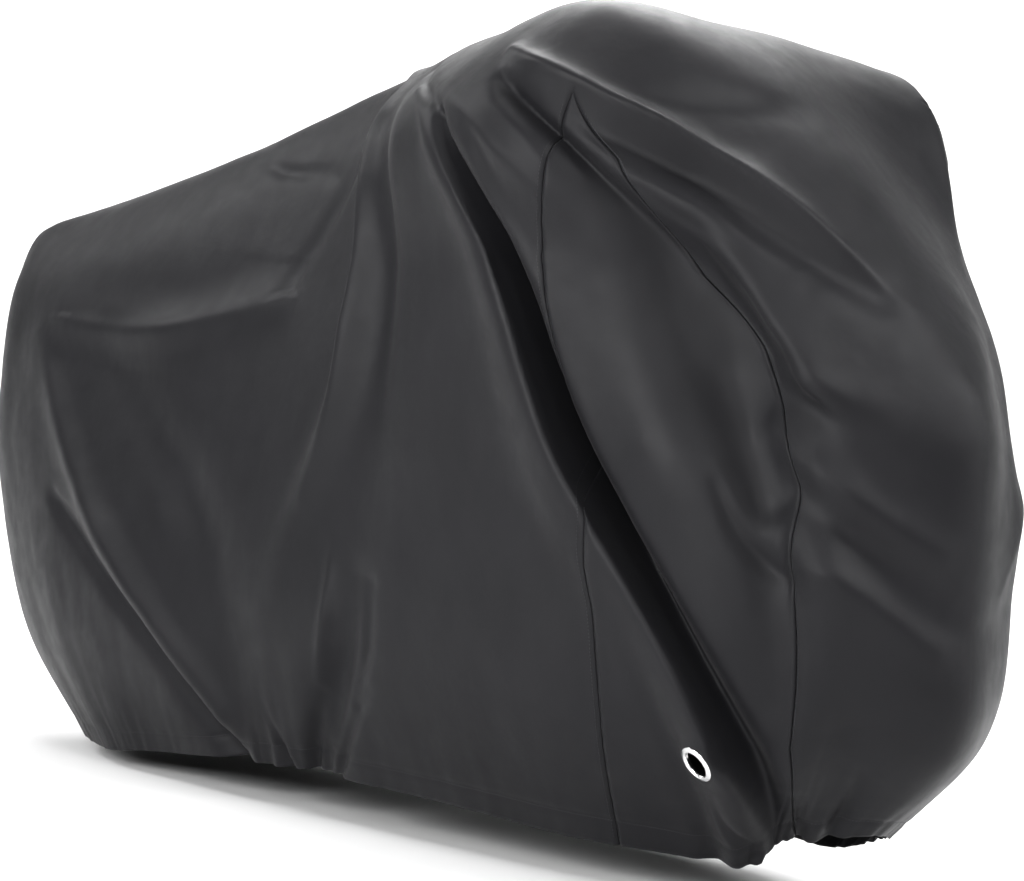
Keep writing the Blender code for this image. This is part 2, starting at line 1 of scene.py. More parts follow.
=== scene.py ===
"""Bicycle cover, dressed: fine cloth, stitching, eyelets, materials, stage, lights and camera.

The drape is the solids' own: the same sections, main folds, seams and eyelet seats, in the same
design coordinates (x forward from the rear axle, y to the left, z up from the ground), moved
so that the origin lies under the top.  On it come the finer creases, the gathered hem, the
puckered seams and the soft unevenness of the cloth.

A place on the cloth is (along, down): along runs from the tail to the nose, roughly in metres,
and down from the crest (0) to the hem (1).
"""
import math

import bpy
import numpy as np
from mathutils import Matrix, Vector, noise


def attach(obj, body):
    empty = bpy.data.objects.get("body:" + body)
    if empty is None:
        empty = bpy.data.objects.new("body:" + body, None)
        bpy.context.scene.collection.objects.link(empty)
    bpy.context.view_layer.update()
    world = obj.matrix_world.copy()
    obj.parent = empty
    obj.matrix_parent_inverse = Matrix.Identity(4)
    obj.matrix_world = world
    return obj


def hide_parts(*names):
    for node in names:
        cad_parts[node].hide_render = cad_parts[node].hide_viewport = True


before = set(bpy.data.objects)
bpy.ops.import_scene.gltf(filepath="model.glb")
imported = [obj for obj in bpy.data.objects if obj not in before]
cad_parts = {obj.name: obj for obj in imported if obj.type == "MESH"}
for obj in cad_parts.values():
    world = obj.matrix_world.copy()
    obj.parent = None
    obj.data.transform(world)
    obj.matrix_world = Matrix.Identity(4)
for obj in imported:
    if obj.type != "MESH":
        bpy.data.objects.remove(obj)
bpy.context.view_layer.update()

# ---- driving sizes (m)
CLOTH = .002  # thickness of the solids' cloth
HELD_AT = (.955, 0.0, 1.087)  # where the handlebar holds the cover up

RIGHT, LEFT = -1, 1  # sign of y on each side
LENGTH_ALONG = 2.1  # tail to nose

# ---- drape of the cloth
LEVELS = dict(crest=0.0, brow=.11, shoulder=.2, chest=.42, waist=.63, skirt=.86, hem=1.0)

# A row for each section: where it stands along the side, then (x, half width, z) at each level.
SECTIONS = dict(
    tail=(0, (-.385, 0, .742), (-.407, 0, .718), (-.406, 0, .66), (-.407, 0, .5), (-.384, 0, .34),
      (-.292, 0, .14), (-.182, 0, .032)),
    heel=(.13, (-.345, 0, .753), (-.358, .055, .735), (-.358, .085, .67), (-.36, .1, .5),
      (-.326, .105, .34), (-.226, .11, .14), (-.112, .095, .026)),
    rack=(.32, (-.24, 0, .787), (-.24, .062, .765), (-.24, .115, .7), (-.225, .155, .53),
      (-.19, .17, .35), (-.09, .18, .15), (.01, .16, .02)),
    flank=(.62, (.08, 0, .882), (.08, .06, .862), (.085, .115, .79), (.09, .175, .6),
      (.1, .215, .39), (.12, .22, .17), (.15, .18, .036)),
    saddle=(.92, (.395, 0, .998), (.395, .045, .985), (.4, .09, .92), (.41, .16, .71),
      (.41, .22, .47), (.4, .24, .21), (.39, .19, .058)),
    lap=(1.2, (.67, 0, 1.058), (.675, .128, 1.061), (.655, .24, .983), (.66, .255, .74),
      (.68, .26, .49), (.7, .25, .22), (.7, .185, .062)),
    bar=(1.46, (.955, 0, 1.089), (.925, .18, 1.093), (.9, .287, 1), (.93, .285, .78),
      (.96, .265, .52), (1, .24, .23), (1, .155, .052)),
    fork=(1.72, (1.16, 0, .945), (1.14, .12, .93), (1.11, .205, .89), (1.16, .16, .72),
      (1.23, .19, .49), (1.24, .16, .21), (1.17, .085, .055)),
    cheek=(1.97, (1.34, 0, .745), (1.33, .08, .73), (1.325, .13, .68), (1.36, .13, .56),
      (1.375, .13, .42), (1.35, .105, .22), (1.25, .05, .087)),
    nose=(2.1, (1.395, 0, .68), (1.415, 0, .65), (1.427, 0, .61), (1.435, 0, .5), (1.435, 0, .38),
      (1.42, 0, .21), (1.315, 0, .104)),
)

# The handlebar is turned a little, so three sections lie otherwise on the left.
SECTIONS_LEFT = dict(
    bar=(1.46, (.955, 0, 1.089), (.955, .18, 1.072), (.975, .318, 1.045), (.985, .257, .78),
      (.98, .265, .52), (1, .24, .23), (1, .155, .052)),
    fork=(1.72, (1.16, 0, .945), (1.13, .145, .92), (1.135, .252, .865), (1.18, .233, .73),
      (1.235, .21, .49), (1.24, .17, .21), (1.168, .095, .06)),
    cheek=(1.97, (1.34, 0, .745), (1.33, .09, .73), (1.322, .14, .68), (1.357, .146, .56),
      (1.373, .142, .42), (1.352, .137, .21), (1.262, .088, .09)),
)

# ---- main folds
# A row for each fold: its shape, the half width at both ends, the height at the start, middle
# and end (minus goes inward), and its path.  The shapes:
#   round  a soft ridge or trough
#   sharp  a crease with a narrow crest
#   lap    cloth that swells up to a lip on the rear side of the path and drops behind it
#   step   the cloth steps down behind the path, as at the edge of a facet
FOLDS_RIGHT = dict(
    deep_groove=("lap", (.016, .034), (.002, .04, .012), (1.29, .25), (1.345, .34), (1.41, .46),
      (1.482, .62), (1.587, .76), (1.708, .9), (1.782, .99)),
    eyelet_swell=("round", (.034, .034), (.004, .026, .012), (1.55, .69), (1.63, .81), (1.688, .9),
      (1.74, 1)),
    saddle_ridge=("round", (.02, .04), (.006, .03, .004), (.97, .11), (1.06, .26), (1.095, .41),
      (1.07, .54), (1.01, .66), (.95, .79)),
    saddle_trough=("round", (.03, .05), (-.002, -.01, -.004), (1.08, .16), (1.13, .36), (1.15, .56),
      (1.13, .75)),
    grip_ridge=("sharp", (.018, .03), (.006, .022, .004), (1.395, .178), (1.47, .188), (1.59, .187),
      (1.715, .163), (1.835, .105), (1.95, .05)),
    under_grip=("round", (.02, .028), (-.008, -.024, -.008), (1.44, .215), (1.6, .225), (1.72, .2),
      (1.84, .145), (1.93, .08)),
    bonnet_roll=("round", (.022, .03), (.003, .012, .003), (1.62, .27), (1.73, .245), (1.86, .16)),
    gore_hollow=("round", (.014, .024), (-.006, -.024, -.006), (1.405, .205), (1.46, .228),
      (1.53, .257), (1.6, .31), (1.665, .38)),
    gore_ridge=("round", (.02, .035), (.001, .01, .002), (1.31, .22), (1.355, .245), (1.46, .305),
      (1.56, .39), (1.6, .45)),
    gore_crown=("round", (.06, .06), (.006, .022, .006), (1.55, .42), (1.6, .54), (1.66, .66),
      (1.72, .78)),
    seam_hollow=("round", (.035, .04), (-.008, -.018, -.006), (1.7, .49), (1.74, .57), (1.77, .66),
      (1.8, .78)),
    rack_facet=("round", (.035, .035), (.004, .014, .008), (.4, .32), (.62, .385), (.82, .41)),
    rear_hollow=("round", (.05, .05), (-.005, -.014, -.01), (.52, .42), (.66, .56), (.8, .72),
      (.88, .86)),
    tail_fold=("round", (.035, .035), (.004, .016, .01), (.34, .36), (.5, .6), (.66, .77),
      (.84, .94)),
    tail_crease=("round", (.015, .025), (-.004, -.014, -.016), (.42, .62), (.6, .76), (.74, .87),
      (.88, 1)),
    hem_hollow=("round", (.03, .03), (-.006, -.02, -.014), (1.12, .76), (1.1, .86), (1.03, 1)),
    nose_ridge_one=("round", (.028, .035), (.008, .01, .004), (1.78, .52), (1.86, .505),
      (1.945, .495), (2.04, .51)),
    nose_ridge_two=("round", (.028, .035), (.008, .01, .004), (1.78, .63), (1.86, .64),
      (1.935, .655), (2.05, .69)),
    nose_hollow=("round", (.025, .035), (-.008, -.014, -.004), (1.83, .56), (1.95, .56),
      (2.07, .61)),
    nose_low=("round", (.05, .05), (-.008, -.018, -.01), (1.9, .74), (1.96, .84), (2, .95)),
)

FOLDS_LEFT = dict(
    saddle_ridge=("round", (.022, .05), (.006, .026, .004), (.95, .1), (1, .3), (1.02, .5),
      (1, .8)),
    groove=("round", (.035, .05), (-.008, -.026, -.01), (1.1, .16), (1.28, .34), (1.42, .55),
      (1.5, .76), (1.55, .97)),
    grip_ridge=("round", (.02, .035), (.003, .005, .002), (1.43, .195), (1.56, .2), (1.7, .21),
      (1.84, .17)),
    rear_hollow=("round", (.06, .055), (-.006, -.02, -.008), (.48, .4), (.62, .58), (.74, .8)),
    tail_fold=("round", (.04, .04), (.004, .016, .006), (.3, .34), (.42, .62), (.52, .9)),
    front_hollow=("round", (.05, .05), (-.006, -.02, -.006), (1.66, .42), (1.72, .6), (1.74, .84)),
    nose_ridge=("round", (.045, .05), (.004, .008, .003), (1.82, .36), (1.94, .52), (1.98, .76)),
)

# ---- finer creases, the scene's own
FINE_FOLDS_RIGHT = dict(
    groove_floor=("round", (.007, .019), (-.012, -.036, -.014), (1.305, .25), (1.362, .34),
      (1.428, .46), (1.503, .62), (1.608, .76), (1.725, .9), (1.792, .99)),
    groove_lip=("sharp", (.006, .008), (.003, .007, .003), (1.2, .205), (1.27, .255), (1.322, .34),
      (1.388, .46), (1.46, .62), (1.565, .76), (1.68, .89)),
    groove_head=("round", (.007, .01), (-.002, -.005, -.001), (1.12, .155), (1.205, .195),
      (1.285, .232), (1.345, .272)),
    groove_edge=("sharp", (.007, .009), (.001, .005, .001), (1.31, .25), (1.375, .3), (1.4, .36),
      (1.44, .42), (1.48, .475), (1.5, .54)),
    groove_third=("round", (.009, .011), (-.001, -.004, -.001), (1.345, .25), (1.385, .275),
      (1.41, .31), (1.43, .345)),
    groove_fourth=("round", (.012, .014), (-.001, -.005, -.001), (1.36, .235), (1.42, .262),
      (1.47, .29), (1.5, .315)),
    saddle_edge=("sharp", (.007, .013), (.003, .009, .003), (.99, .12), (1.065, .25), (1.1, .4),
      (1.075, .54), (1.01, .67)),
    saddle_dip=("round", (.014, .02), (-.003, -.006, -.003), (.94, .14), (.9, .3), (.83, .41)),
    saddle_side=("round", (.018, .03), (-.002, -.009, -.002), (1.09, .14), (1.13, .25),
      (1.165, .42), (1.145, .56)),
    rack_crease=("step", (.01, .014), (.002, .006, .003), (.43, .33), (.55, .37), (.7, .395),
      (.81, .41)),
    rack_mark=("round", (.01, .014), (-.002, -.005, -.002), (.71, .15), (.76, .19), (.87, .25)),
    tail_line=("step", (.006, .009), (-.002, -.006, -.008), (.45, .63), (.56, .72), (.67, .8),
      (.78, .9), (.88, .99)),
    tail_band=("round", (.018, .022), (.002, .006, .003), (.36, .34), (.42, .47), (.52, .63),
      (.66, .76), (.8, .88), (.88, .96)),
    grip_crest=("sharp", (.005, .009), (.003, .01, .002), (1.39, .178), (1.47, .188), (1.59, .187),
      (1.715, .163), (1.835, .105), (1.94, .055)),
    grip_wedge=("round", (.02, .03), (-.002, -.006, -.002), (1.55, .205), (1.63, .145), (1.66, .07),
      (1.66, .02)),
    bonnet_light=("round", (.008, .012), (.002, .005, .001), (1.62, .235), (1.73, .205),
      (1.87, .135)),
    bonnet_dark=("round", (.01, .014), (-.002, -.006, -.002), (1.65, .285), (1.74, .265),
      (1.88, .16)),
    gore_top=("round", (.006, .01), (-.004, -.01, -.003), (1.405, .205), (1.46, .226), (1.52, .25),
      (1.565, .28), (1.61, .315), (1.665, .365)),
    seam_pull=("round", (.008, .012), (-.003, -.007, -.004), (1.68, .61), (1.71, .655),
      (1.75, .675), (1.79, .68)),
    seam_lip=("round", (.01, .014), (.002, .005, .002), (1.68, .585), (1.72, .63), (1.77, .65)),
    nose_light_one=("round", (.016, .024), (.002, .008, .002), (1.82, .41), (1.9, .335),
      (1.99, .24)),
    nose_dark_one=("round", (.012, .018), (-.002, -.006, -.002), (1.83, .44), (1.9, .39),
      (1.98, .32)),
    nose_light_two=("round", (.012, .018), (.001, .004, .002), (1.81, .53), (1.9, .5), (1.97, .5),
      (2.05, .515)),
    nose_light_three=("round", (.012, .018), (.001, .004, .002), (1.81, .66), (1.89, .64),
      (1.97, .645), (2.05, .69)),
    eyelet_crease=("round", (.006, .007), (-.003, -.008, -.008), (1.665, .915), (1.69, .945),
      (1.735, .975), (1.75, 1)),
    eyelet_strip=("round", (.018, .016), (-.002, -.007, -.009), (1.54, .75), (1.57, .8), (1.6, .87),
      (1.65, .96), (1.67, 1)),
    hem_pinch_one=("round", (.009, .007), (-.002, -.008, -.012), (1.06, .9), (1.03, .95),
      (1.015, 1)),
    hem_pinch_two=("round", (.01, .008), (-.002, -.007, -.01), (1.15, .88), (1.1, .94), (1.06, 1)),
    hem_pinch_three=("round", (.008, .006), (-.001, -.006, -.01), (.95, .93), (.965, .97),
      (.98, 1)),
    low_fold_one=("round", (.012, .01), (-.003, -.007, -.004), (1.16, .76), (1.155, .83),
      (1.12, .9)),
    low_fold_two=("round", (.01, .01), (.001, .006, .002), (1.08, .72), (1.075, .8), (1.06, .88)),
    front_pinch_one=("round", (.008, .007), (-.002, -.008, -.01), (1.9, .93), (1.93, .97),
      (1.945, 1)),
    front_pinch_two=("round", (.01, .008), (-.002, -.007, -.01), (2, .9), (2.01, .95), (2.01, 1)),
)

FINE_FOLDS_LEFT = dict(
    saddle_edge=("sharp", (.01, .02), (.002, .006, .002), (.985, .12), (1, .28), (1.015, .48),
      (1, .68)),
    left_floor=("round", (.014, .018), (-.003, -.01, -.006), (1.12, .2), (1.29, .36), (1.42, .56),
      (1.49, .76), (1.54, .96)),
    left_lip=("sharp", (.01, .014), (.002, .005, .002), (1.08, .2), (1.245, .36), (1.375, .56),
      (1.445, .76)),
    tail_line=("step", (.008, .01), (-.002, -.006, -.007), (.4, .6), (.52, .72), (.66, .84),
      (.76, .98)),
    rack_crease=("step", (.01, .014), (.002, .005, .002), (.38, .32), (.52, .37), (.68, .4),
      (.8, .42)),
    grip_crest=("sharp", (.006, .01), (.002, .005, .001), (1.45, .195), (1.56, .205), (1.7, .215),
      (1.82, .18)),
    left_pull=("round", (.012, .018), (-.002, -.006, -.002), (1.6, .26), (1.69, .34), (1.8, .4),
      (1.9, .48)),
    left_low=("round", (.012, .012), (-.002, -.006, -.004), (1.66, .7), (1.74, .8), (1.79, .92)),
    hem_pinch_one=("round", (.009, .008), (-.002, -.007, -.01), (1, .9), (.99, .95), (.975, 1)),
    hem_pinch_two=("round", (.009, .008), (-.002, -.006, -.009), (.6, .92), (.61, .96), (.62, 1)),
    nose_line=("sharp", (.012, .016), (.002, .006, .002), (1.84, .5), (1.93, .52), (2.03, .6)),
)

# Where the cloth leans forward over the groove: side, widths, how far at shares of the path.
LEAN = (RIGHT, (.01, .018), (.001, .018, .018, .008), (0, .28, .55, 1),
        ((1.28, .25), (1.33, .34), (1.395, .46), (1.465, .62), (1.57, .76), (1.691, .9),
         (1.77, .99)))

FOLD_REACH = 4.0  # a fold is worked out this many widths from its path
PATH_STEPS = 40  # points on a fold's path
CREST_ROUNDING = .006  # of a sharp crease (m)
STEP_REACH = 4.0  # a step fades out over this many widths
# A lap's own shape, in widths from its path:
LAP_START, LAP_FALL = -.5, 1.3  # where its lip ends, and over how much it falls
LAP_LIP, LAP_SWELL = .5, 1.8  # the lip's height to the drop's, and how far back it swells
LAP_FLOOR, LAP_RISE = .8, .75  # where the drop's floor ends, and over how much it rises

# ---- gores and seams
GORE_APEX = .2  # how far down the two seams of a gore meet
GORE_TIP = .16  # the gore starts this far along the first cell below the apex
# Heights, as down, and where the rear and the front seam run at each.
SEAM_HEIGHTS = (.2, .25, .33, .38, .42, .48, .56, .66, .76, .86, .93, 1)
SEAM_REAR = (1.535, 1.532, 1.502, 1.478, 1.47, 1.475, 1.49, 1.505, 1.515, 1.508, 1.498, 1.49)
SEAM_FRONT = (1.535, 1.622, 1.658, 1.688, 1.765, 1.8, 1.825, 1.805, 1.812, 1.818, 1.87, 1.94)

# ---- eyelets
EYELET_ALONG, EYELET_DOWN = 1.65, .875  # centre, in the gore
EYELET_HOLE = .017  # radius of the opening
EYELET_FLANGE = .025  # radius of the outer flange
EYELET_BARREL = .0194  # outer radius of the barrel
CLOTH_HOLE = .0198  # radius of the hole in the gore
EYELET_CLEAR = .0003  # clearance between the flanges and the cloth
SEAT_REACH = .022  # the seat lies along the cloth this far round its centre
SEAT_EDGE = .027  # radius of the flat seat
SEAT_BLEND = .012  # the cloth comes flat over this distance round it
SEAT_NEAR = .12  # cloth farther from the centre than this keeps its shape
EYELET_TURNS, ARC_STEPS = 96, 5  # cells round the ring, and along each arc of its section
# The ring's outer face as arcs: centre radius, centre height, size, from and to angle (degrees).
EYELET_ARCS = (
    (EYELET_FLANGE - .0012, .0003, .0012, 0, 75),  # outer edge
    (EYELET_BARREL + .0003, .001, .0021, 75, 165),  # crown
    (EYELET_HOLE + .0006, .0002, .0006, 165, 180),  # inner edge
)
# The rest of its section: radius, and height above the cloth's inner face.
EYELET_BACK = (
    (EYELET_HOLE, -.0004), (EYELET_HOLE + .0004, -.0012), (EYELET_BARREL, -.0019),
    (EYELET_FLANGE - .003, -.0015), (EYELET_FLANGE - .0018, -.0005),
    (EYELET_FLANGE - .0018, 0), (EYELET_BARREL, 0),
)
EYELET_CORNER = 50  # degrees; sharper edges of the ring aren't smoothed

# ---- fine grid of the cloth
# A row for each stretch: a value, then how many cells lie before it.
ROW_STOPS = ((0.0, 0), (.2, 46), (.9, 170), (1.0, 200))
REAR_STOPS = ((0.0, 0), (.57, 128), (1.0, 262))
FRONT_COLUMNS, GORE_COLUMNS = 72, 60
COARSE = 1
SEAM_STEPS = (0.0, .0018, .0036, .0058, .0085, .0125)  # columns beside a seam, from it
SEAM_ROOM = .06  # those columns draw together where there is less cloth than this
TINY = 1e-9  # keeps a share or a length off zero
TURN_IN = .006  # cloth turned in at a seam
HEM_TURN = (0.0, .004, .012, .022)  # rows of the turned-up hem, as down
HEM_DEPTH = .0022  # its clearance behind the outer cloth
DOWN_LENGTH = 1.15  # metres of cloth from the crest to the hem
WEAR_FROM, WEAR_RANGE = .72, .28  # the cloth is worn below this height

# ---- gathers of the hem
HEM_RIPPLE = .0002  # height of the hem's ripples where it isn't gathered
GATHER_REACH = .055  # how far up they run, as down
GATHER_FALL = 1.5  # how fast they fade upward, as a power
GATHER_WAVES = ((83, .5), (119, .35), (167, .25))  # half waves along a side, share
# For each gathered stretch: its centre along, half width, height of its ripples.
GATHERS = {
    RIGHT: ((.28, .14, .0006), (.62, .16, .0003), (.98, .09, .0036), (1.3, .14, .0004),
            (1.68, .05, .0006), (1.95, .12, .0024)),
    LEFT: ((.22, .14, .003), (.6, .12, .0035), (.98, .12, .0045), (1.42, .12, .0025),
           (1.9, .14, .0045)),
}
HEM_BAND = .026  # depth of the band that holds the elastic, as down
HEM_LINE, HEM_LINE_WIDTH = .0011, .0035  # dip at its stitched line

# ---- unevenness of the cloth
# A row for each grain: size along and down (m of cloth coordinates), height.
GRAINS = ((.17, .3, .0034), (.075, .22, .0016), (.034, .06, .0006))
GRAIN_SIDE, GRAIN_SEED = 3.7, 11.0  # places in the noise of the two sides and the grains
GRAIN_FADE_ALONG, GRAIN_FADE_DOWN = .12, .1
SEAM_DIP, SEAM_DIP_WIDTH = .002, .0024
SEAM_SWELL, SEAM_SWELL_AT, SEAM_SWELL_WIDTH = .0005, .008, .0045
PUCKER, PUCKER_WIDTH, PUCKER_LENGTH = .0003, .012, .021
PUCKER_WANDER, PUCKER_WANDER_RATE = 2.0, 23.0
PUCKER_START, PUCKER_FADE = .19, .04  # as down
APEX_SCALE = 1.1  # metres of cloth to one step of down, above the gore's apex

# ---- stitching
STITCH, STITCH_PITCH = .0032, .0046  # length of a stitch, and from one to the next
THREAD = .00038  # half the thread's width
THREAD_SECTION = 6  # corners of its section
# A stitch's rings: share of its length, height and radius in thread widths.
STITCH_RINGS = ((0.0, -.6, 0.0), (.18, .35, .8), (.5, .7, 1.0), (.82, .35, .8),
                (1.0, -.6, 0.0))
STITCH_OFF = .0062  # the stitched line lies this far from the seam
SEAM_SAMPLES, HEM_SAMPLES = 600, 1400
SEAM_LINE_ENDS = (GORE_APEX + .01, .995)  # as down
HEM_LINE_ENDS = (.004, LENGTH_ALONG - .004)


def smooth(t):
    """Soft step from 0 to 1."""
    t = np.clip(t, 0.0, 1.0)
    return t * t * (3.0 - 2.0 * t)


def unit(vectors):
    """Vectors of length 1, along the last axis."""
    return vectors / np.linalg.norm(vectors, axis=-1, keepdims=True)


def spline_weights(t, knots):
    """Index and four weights of a smooth curve through points that stand at the knots."""
    i = np.clip(np.searchsorted(knots, t, side="right") - 1, 1, len(knots) - 3)
    before, start, end, after = knots[i - 1], knots[i], knots[i + 1], knots[i + 2]
    span = end - start
    s = (t - start) / span
    stay, leave = 2 * s**3 - 3 * s**2 + 1, s**3 - 2 * s**2 + s
    come, arrive = -2 * s**3 + 3 * s**2, s**3 - s**2

    def slope(a, b, c):
        back, ahead = b - a, c - b
        wa, wc = ahead / (back + ahead) / back, back / (back + ahead) / ahead
        return -wa, wa - wc, wc

    s0, s1, s2 = slope(before, start, end)
    e1, e2, e3 = slope(start, end, after)
    return i, (leave * span * s0,
               stay + leave * span * s1 + arrive * span * e1,
               come + leave * span * s2 + arrive * span * e2,
               arrive * span * e3)


def build_nets():
    """Control points of both sides, each carried on past its edges by its other side."""
    own = {}
    for side, sections in ((RIGHT, SECTIONS), (LEFT, {**SECTIONS, **SECTIONS_LEFT})):
        own[side] = np.array([places for _, *places in sections.values()], float)
        own[side][..., 1] *= side
    nets = {}
    for side in (RIGHT, LEFT):
        mine, other = own[side], own[-side]
        mine = np.concatenate([other[1:2], mine, other[-2:-1]], axis=0)
        other = np.concatenate([own[side][1:2], other, own[side][-2:-1]], axis=0)
        past_hem = 2 * mine[:, -1:] - mine[:, -2:-1]
        nets[side] = np.concatenate([other[:, 1:2], mine, past_hem], axis=1)
    return nets


def carried_on(knots):
    """Knots with one more at each end."""
    return np.array([2 * knots[0] - knots[1], *knots, 2 * knots[-1] - knots[-2]])


NETS = build_nets()
ALONG_KNOTS = carried_on([where for where, *_ in SECTIONS.values()])
DOWN_KNOTS = carried_on(list(LEVELS.values()))


def base_point(side, along, down):
    """Point of the unfolded drape."""
    along, down = np.broadcast_arrays(along, down)
    i, across = spline_weights(along, ALONG_KNOTS)
    j, drop = spline_weights(down, DOWN_KNOTS)
    net = NETS[side]
    return sum((across[a] * drop[b])[..., None] * net[i - 1 + a, j - 1 + b]
               for a in range(4) for b in range(4))


NEAR_END, NEAR_CREST = .02, .012  # where the two sides' normals begin to merge
STEP = .004  # step of the slopes, in cloth coordinates


def one_side_normal(side, along, down):
    """Outward normal of one side's unfolded drape."""
    along = np.clip(along, NEAR_END, LENGTH_ALONG - NEAR_END)
    down = np.clip(down, NEAR_CREST, 1.0)
    round_it = base_point(side, along + STEP, down) - base_point(side, along - STEP, down)
    down_it = base_point(side, along, down + STEP) - base_point(side, along, down - STEP)
    return unit(np.cross(round_it, down_it) * side)


def base_normal(side, along, down):
    """Outward normal of the unfolded drape, shared by both sides where they meet."""
    along, down = np.broadcast_arrays(along, down)
    own = one_side_normal(side, along, down)
    both = unit(own + one_side_normal(-side, along, down))
    share = np.minimum(np.minimum(along, LENGTH_ALONG - along) / NEAR_END, down / NEAR_CREST)
    share = np.clip(share, 0.0, 1.0)[..., None]
    return unit(share * own + (1 - share) * both)


def fold_path(side, path):
    """A fold's route as a smooth line of points on the drape, with its normals."""
    stops = np.array(path, float)
    knots = np.arange(-1.0, len(stops) + 1)
    stops = np.concatenate([[2 * stops[0] - stops[1]], stops, [2 * stops[-1] - stops[-2]]])
    i, weights = spline_weights(np.linspace(0, len(path) - 1, PATH_STEPS), knots)
    route = sum(weights[k][:, None] * stops[i - 1 + k] for k in range(4))
    along, down = np.clip(route[:, 0], 0, LENGTH_ALONG), np.clip(route[:, 1], 0, 1)
    return base_point(side, along, down), base_normal(side, along, down)


def fold_profile(shape, offset, width):
    """Height of a fold of height 1, at an offset across it: plus is its front side."""
    if shape == "round":
        return np.exp(-(offset / width) ** 2)
    if shape == "sharp":
        return np.exp(-(np.sqrt(offset**2 + CREST_ROUNDING**2) - CREST_ROUNDING) / width)
    if shape == "step":
        return np.tanh(-offset / width) * np.exp(-(offset / (STEP_REACH * width)) ** 2)
    past_lip = offset - LAP_START * width
    fall = smooth(past_lip / (LAP_FALL * width))
    lip = np.exp(-(np.minimum(past_lip, 0) / (LAP_SWELL * width)) ** 2) * (1.0 - fall)
    drop = np.exp(-(np.maximum(offset / width - LAP_FLOOR, 0) / LAP_RISE) ** 2) * fall
    return LAP_LIP * lip - drop


def prepare_folds(right, left):
    """Each fold's side, path, normals, widths and heights along the path, and shape."""
    folds = []
    share = np.linspace(0, 1, PATH_STEPS)
    for side, table in ((RIGHT, right), (LEFT, left)):
        for shape, widths, heights, *path in table.values():
            width = np.interp(share, (0, 1), widths)
            height = np.interp(share, (0, .5, 1), heights)
            folds.append((side, *fold_path(side, path), width, height, shape))
    return folds


FOLD_LINES = prepare_folds(FOLDS_RIGHT, FOLDS_LEFT)
FINE_LINES = prepare_folds(FINE_FOLDS_RIGHT, FINE_FOLDS_LEFT)


def beside(points, side, line, line_normals, widths, heights):
    """Which points lie near a line, and their offset, width, height and direction across it."""
    reach = FOLD_REACH * widths.max()
    near = np.all((points > line.min(0) - reach) & (points < line.max(0) + reach), axis=1)
    picked = points[near]
    starts, steps = line[:-1], np.diff(line, axis=0)
    best = np.full(len(picked), np.inf)
    nearest, share = np.zeros(len(picked), int), np.zeros(len(picked))
    for k, (start, step) in enumerate(zip(starts, steps)):
        t = np.clip((picked - start) @ step / (step @ step), 0, 1)
        away = ((picked - start - t[:, None] * step) ** 2).sum(axis=1)
        closer = away < best
        best[closer], nearest[closer], share[closer] = away[closer], k, t[closer]
    gap = picked - (starts[nearest] + share[:, None] * steps[nearest])
    across = unit(np.cross(steps[nearest], line_normals[nearest]) * side)
    offset = np.sqrt(best) * np.where((gap * across).sum(axis=1) < 0, -1, 1)
    width, height = (
        v[nearest] + share * (v[nearest + 1] - v[nearest]) for v in (widths, heights))
    return near, offset, width, height, across


def fold_height(points, lines):
    """Sum of the folds' heights at points of the drape."""
    total = np.zeros(len(points))
    for *line, shape in lines:
        near, offset, width, height, _ = beside(points, *line)
        total[near] += height * fold_profile(shape, offset, width)
    return total


def cloth_point(side, along, down):
    """Point of the outer face with its main folds alone, as the solids have it."""
    point = base_point(side, along, down).reshape(-1, 3)
    height = fold_height(point, FOLD_LINES)
    return point + height[:, None] * base_normal(side, along, down).reshape(-1, 3)


def seams(down):
    """Where the rear and the front seam run at a height."""
    return np.interp(down, SEAM_HEIGHTS, SEAM_REAR), np.interp(down, SEAM_HEIGHTS, SEAM_FRONT)


def eyelet_frame(side):
    """Centre and axes of the eyelet's seat: outward, forward and down the cloth."""
    alongs = EYELET_ALONG + SEAT_REACH * np.array([0, 1, -1, 0, 0])
    downs = EYELET_DOWN + SEAT_REACH * np.array([0, 0, 0, 1, -1])
    centre, ahead, behind, below, above = cloth_point(side, alongs, downs)
    forward = ahead - behind
    outward = unit(np.cross(forward, below - above) * side)
    forward = unit(forward - outward * (forward @ outward))
    return centre, outward, forward, np.cross(outward, forward)


EYELET_SEATS = {side: eyelet_frame(side) for side in (RIGHT, LEFT)}


# ---- the finished outer face
def noise_field(points, scale, seed):
    """Smooth noise from -1 to 1 at points, each axis with its own size."""
    scaled = points / scale
    return np.array([noise.noise(Vector((x, y, z + seed))) for x, y, z in scaled.tolist()])


def lean_over(points):
    """The cloth's lean across the groove, in metres of shift."""
    side, widths, amounts, shares, path = LEAN
    along_path = np.linspace(0, 1, PATH_STEPS)
    found, offset, width, amount, across = beside(
        points, side, *fold_path(side, path), np.interp(along_path, (0, 1), widths),
        np.interp(along_path, shares, amounts))
    shift = np.zeros_like(points)
    shift[found] = (amount * np.exp(-(offset / width) ** 2))[:, None] * across
    return shift


def seam_relief(along, down):
    """The dip of each seam, the swell beside it and its puckers."""
    rear, front = seams(down)
    gap = np.minimum(abs(along - rear), abs(along - front))
    gap = np.where(down >= GORE_APEX, gap, np.hypot(along - rear, (down - GORE_APEX) * APEX_SCALE))
    dip = -SEAM_DIP * np.exp(-(gap / SEAM_DIP_WIDTH) ** 2)
    swell = SEAM_SWELL * np.exp(-((gap - SEAM_SWELL_AT) / SEAM_SWELL_WIDTH) ** 2)
    wander = PUCKER_WANDER * np.sin(down * PUCKER_WANDER_RATE)
    ripple = np.cos(2 * math.pi * down / PUCKER_LENGTH + wander)
    fade = np.exp(-(gap / PUCKER_WIDTH) ** 2) * smooth((down - PUCKER_START) / PUCKER_FADE)
    return dip + swell + PUCKER * ripple * fade


